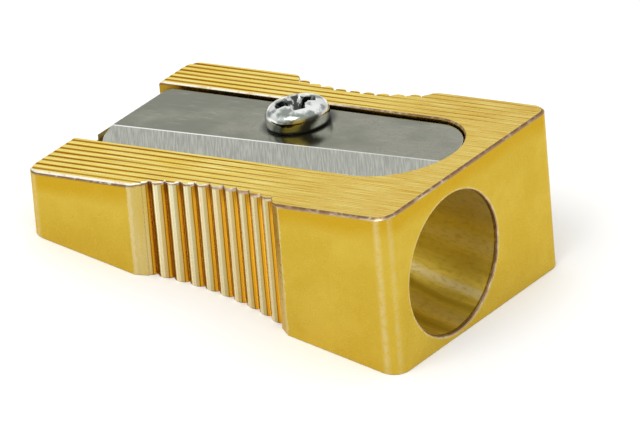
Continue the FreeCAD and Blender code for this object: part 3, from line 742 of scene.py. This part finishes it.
def headProfile():
    # from the crown out over the dome, round the rim and down to the underside
    radius, height, rim = screw["headRadius"], screw["headHeight"], screw["rimRound"]
    bevel, inner = screw["underBevel"], radius - screw["underRing"]
    rimCentre = (radius - rim, domeCentre + math.sqrt((domeRadius - rim) ** 2 - (radius - rim) ** 2))
    domeReach = math.asin((radius - rim) / (domeRadius - rim))
    points = []
    for step in range(screw["domeSteps"] + 1):
        angle = domeReach * step / screw["domeSteps"]
        points.append((domeRadius * math.sin(angle), domeCentre + domeRadius * math.cos(angle)))
    for step in range(1, screw["rimSteps"] + 1):
        angle = domeReach + (math.pi / 2 - domeReach) * step / screw["rimSteps"]
        points.append((rimCentre[0] + rim * math.sin(angle), rimCentre[1] + rim * math.cos(angle)))
    points += [(radius, height * share) for share in (0.4, 0.2)]
    points += [(radius, bevel), (radius - bevel, 0.0), (inner, 0.0), (screw["threadRadius"], 0.0)]
    return points


def threadRadiusAt(level, angle):
    # a rounded right-hand V thread that runs out under the head and tapers off at the tip
    turn = (level / screw["pitch"] - angle / (2 * math.pi)) % 1.0
    cut = screw["threadDepth"] * (0.5 + 0.5 * math.cos(2 * math.pi * turn)) ** screw["threadRound"]
    plain, deepening = screw["runOut"]
    runOut = min(1.0, max(0.0, (-level - plain) / deepening))
    taper = min(0.0, level + screw["length"] - screw["tipBevel"])
    return screw["threadRadius"] - cut * runOut + taper


def addRing(bm, angles, radii, level):
    return [bm.verts.new((r * math.cos(a), r * math.sin(a), level)) for a, r in zip(angles, radii)]


def latheScrew():
    bm = bmesh.new()
    around = screw["around"]
    angles = [2 * math.pi * step / around for step in range(around)]
    head = headProfile()
    crown = bm.verts.new((0, 0, head[0][1]))
    rings = [addRing(bm, angles, [radius] * around, level) for radius, level in head[1:]]
    ringsDown = int(screw["length"] / screw["pitch"] * screw["ringsPerTurn"])
    for step in range(1, ringsDown + 1):
        level = -screw["length"] * step / ringsDown
        rings.append(addRing(bm, angles, [threadRadiusAt(level, a) for a in angles], level))
    for i in range(around):
        j = (i + 1) % around
        bm.faces.new((crown, rings[0][i], rings[0][j]))
        for upper, lower in zip(rings, rings[1:]):
            bm.faces.new((upper[i], lower[i], lower[j], upper[j]))
    bm.faces.new(list(reversed(rings[-1])))
    bmesh.ops.recalc_face_normals(bm, faces=bm.faces)
    return bm


def punch(name, span, width, depth, turn):
    # a tapered blade of the cross punch, wide at the top and narrow at its foot
    top = (screw["punchTop"], span + 2 * screw["punchTop"], width * screw["punchFlare"])
    foot = (-depth, span * screw["footSpan"], width * screw["footWidth"])
    bm = bmesh.new()
    rows = []
    for level, length, thick in (top, foot):
        corners = [(-length, -thick), (length, -thick), (length, thick), (-length, thick)]
        rows.append([bm.verts.new((a / 2, b / 2, crownHeight + level)) for a, b in corners])
    for i in range(4):
        bm.faces.new((rows[0][i], rows[0][i - 1], rows[1][i - 1], rows[1][i]))
    bm.faces.new(rows[0])
    bm.faces.new(list(reversed(rows[1])))
    bmesh.ops.recalc_face_normals(bm, faces=bm.faces)
    soften = {"offset": screw["punchRound"], "segments": 3, "affect": "EDGES", "clamp_overlap": True}
    bmesh.ops.bevel(bm, geom=bm.edges[:], **soften)
    spin = Matrix.Rotation(math.radians(turn), 3, "Z")
    bmesh.ops.rotate(bm, verts=bm.verts, cent=(0, 0, 0), matrix=spin)
    mesh = bpy.data.meshes.new(name)
    bm.to_mesh(mesh)
    bm.free()
    return bpy.data.objects.new(name, mesh)


def platingSideReflections(tree, onScrew, p, q, level):
    # painted reflections round the head's side: light, dull and warm bands, slanted and uneven, on a dark
    # painted reflection, with painted shade along its foot
    waver = grain(tree, onScrew, (1.6, 1.6, 1.6), 2.0)
    bearing = calc(tree, "MULTIPLY_ADD", level, -0.45, calc(tree, "ARCTAN2", q, p))
    bearing = calc(tree, "ADD", bearing, calc(tree, "MULTIPLY_ADD", waver, 0.6, -0.3))
    colour = screw["darkReflectionAndShade"]
    for middle, reach, tone in screw["sideReflectionBands"]:
        colour = tint(tree, nearAngle(tree, bearing, middle, reach, reach * 0.8), colour, screw[tone])
    return tint(tree, ease(tree, level, 0.22, 0.08), colour, screw["darkReflectionAndShade"])


def makePlating():
    made, tree, shader = newMetal("screwPlating", screw["roughness"])
    source = addNode(tree, "TexCoord")
    seat = Matrix.Rotation(slope, 3, "Y") @ (-screwSeat / mm)
    onScrew = inMillimetres(tree, source.outputs["Object"], slope, seat)
    p, q, level = split(tree, onScrew)
    squared = calc(tree, "ADD", both(tree, p, p), both(tree, q, q))  # distance from the axis, squared
    dome = calc(tree, "SQRT", calc(tree, "SUBTRACT", domeRadius ** 2, squared))
    sunk = calc(tree, "SUBTRACT", calc(tree, "ADD", dome, domeCentre), level)
    upward = calc(tree, "ABSOLUTE", dot(tree, source.outputs["Normal"], tuple(screwAxis)))

    # bright plating with dull patches of painted reflection, banded with painted reflections round the
    # head's side, painted shade in the recess
    patch = ease(tree, grain(tree, onScrew, (1.1, 1.1, 1.1)), 0.42, 0.58)
    colour = tint(tree, patch, screw["plating"], screw["dullReflection"])
    isSide = both(
        tree,
        ease(tree, upward, 0.6, 0.3),
        ease(tree, squared, *screw["sideFrom"]),
        ease(tree, level, -0.02, 0.0),
    )
    colour = tint(tree, isSide, colour, platingSideReflections(tree, onScrew, p, q, level))
    inRecess = both(
        tree,
        ease(tree, sunk, 0.04, 0.12),
        ease(tree, squared, *screw["recessWithin"]),
        ease(tree, level, 0.2, 0.3),
    )
    glint = ease(tree, grain(tree, onScrew, (3.0, 3.0, 0.4), 2.0), 0.50, 0.62, 1.0, 0.3)
    # painted shade in the recess, lifted by painted glints
    colour = tint(tree, both(tree, inRecess, glint), colour, screw["recess"])
    tree.links.new(colour, shader.inputs["Base Color"])
    uneven = grain(tree, onScrew, (1.3, 1.3, 0.8), 2.0)
    rounded = addNode(tree, "Bevel", {"Radius": screw["edgeRadius"] * mm}, samples=4).outputs[0]
    addRelief(tree, shader, 0.5, screw["reliefDepth"], uneven, rounded)
    return made


def punchRecess(blank):
    # two large wings, and two small ones between them
    large = (screw["recessSpan"], screw["recessWidth"], screw["recessDepth"])
    small = tuple(size * share for size, share in zip(large, screw["smallWings"]))
    cutters = []
    for index, (wing, turn) in enumerate(((large, 0), (large, 90), (small, 45), (small, 135))):
        cutter = punch("punch%d" % index, *wing, screw["recessTurn"] + turn)
        scene.collection.objects.link(cutter)
        cut = blank.modifiers.new("recess%d" % index, "BOOLEAN")
        cut.operation = "DIFFERENCE"
        cut.solver = "EXACT"
        cut.object = cutter
        cutters.append(cutter)
    depsgraph = bpy.context.evaluated_depsgraph_get()
    punched = bpy.data.meshes.new_from_object(blank.evaluated_get(depsgraph))
    for item in cutters + [blank]:
        bpy.data.objects.remove(item)
    return punched


def makeScrew():
    mesh = bpy.data.meshes.new("screwBlank")
    bm = latheScrew()
    bm.to_mesh(mesh)
    bm.free()
    blank = bpy.data.objects.new("screwBlank", mesh)
    scene.collection.objects.link(blank)
    punched = punchRecess(blank)
    punched.name = "threadedScrew"
    lay = Matrix.Rotation(-slope, 4, "Y")
    punched.transform(Matrix.Translation(screwSeat) @ lay @ Matrix.Scale(mm, 4))
    punched.shade_smooth()
    punched.set_sharp_from_angle(angle=math.radians(screw["sharpFrom"]))
    piece = bpy.data.objects.new("threadedScrew", punched)
    scene.collection.objects.link(piece)
    dress(piece, makePlating())
    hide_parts("blade_screw")
    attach(piece, "fastener")


makeScrew()
print("screw done")

studio = {
    "floorSize": 3.0,
    "floorDrop": 0.02,  # millimetres under the wedge
    "floorColour": (0.94, 0.94, 0.94, 1.0),
    "floorRoughness": 0.9,
    "skyHigh": 1.05,
    "skyLow": 0.8,
    "skyRise": (0.05, 0.75),  # the sky brightens between these heights
    "keyPower": 1.2,
    "keySize": 0.34,
    "keyPlace": (-0.06, -0.34, 0.46),
}


def makeFloor():
    mesh = bpy.data.meshes.new("floor")
    bm = bmesh.new()
    bmesh.ops.create_grid(bm, x_segments=1, y_segments=1, size=studio["floorSize"] / 2)
    bm.to_mesh(mesh)
    bm.free()
    floor = bpy.data.objects.new("floor", mesh)
    scene.collection.objects.link(floor)
    floor.location.z = -studio["floorDrop"] * mm
    paper = bpy.data.materials.new("floorPaper")
    paper.use_nodes = True
    shader = paper.node_tree.nodes["Principled BSDF"]
    shader.inputs["Base Color"].default_value = studio["floorColour"]
    shader.inputs["Roughness"].default_value = studio["floorRoughness"]
    dress(floor, paper)


def makeLight():
    # a pale sky, dimmer towards the horizon, and one large soft lamp
    world = bpy.data.worlds.new("studio")
    world.use_nodes = True
    tree = world.node_tree
    height = split(tree, addNode(tree, "TexCoord").outputs["Generated"])[2]
    strength = ease(tree, height, *studio["skyRise"], studio["skyLow"], studio["skyHigh"])
    tree.links.new(strength, tree.nodes["Background"].inputs["Strength"])
    tree.nodes["Background"].inputs["Color"].default_value = (1, 1, 1, 1)
    scene.world = world
    key = bpy.data.lights.new("key", "AREA")
    key.energy = studio["keyPower"]
    key.size = studio["keySize"]
    lamp = bpy.data.objects.new("key", key)
    scene.collection.objects.link(lamp)
    lamp.location = studio["keyPlace"]
    lamp.rotation_mode = "QUATERNION"
    lamp.rotation_quaternion = (-Vector(studio["keyPlace"])).to_track_quat("-Z", "Y")


makeFloor()
makeLight()
print("studio done")

# the photo's camera, solved from the wedge's edges and the bore's rim
shot = {
    "aim": (1.8193, 0.0308, 2.7435),  # millimetres
    "distance": 0.49127,  # metres
    "azimuth": 35.7915,
    "elevation": 30.6055,
    "roll": 0.9893,
    "lens": 506.25,
    "sensor": 36.0,
    "clip": (0.05, 10.0),
}


def makeCamera():
    data = bpy.data.cameras.new("camera")
    data.lens = shot["lens"]
    data.sensor_width = shot["sensor"]
    data.clip_start, data.clip_end = shot["clip"]
    camera = bpy.data.objects.new("camera", data)
    scene.collection.objects.link(camera)
    turn = Matrix.Rotation(math.radians(shot["azimuth"]), 4, "Z")
    turn = turn @ Matrix.Rotation(math.radians(90 - shot["elevation"]), 4, "X")
    place = Vector(shot["aim"]) * mm + turn.to_3x3() @ Vector((0, 0, shot["distance"]))
    roll = Matrix.Rotation(math.radians(shot["roll"]), 4, "Z")
    camera.matrix_world = Matrix.Translation(place) @ turn @ roll
    scene.camera = camera


makeCamera()
scene.view_settings.view_transform = "Standard"
print("camera done")
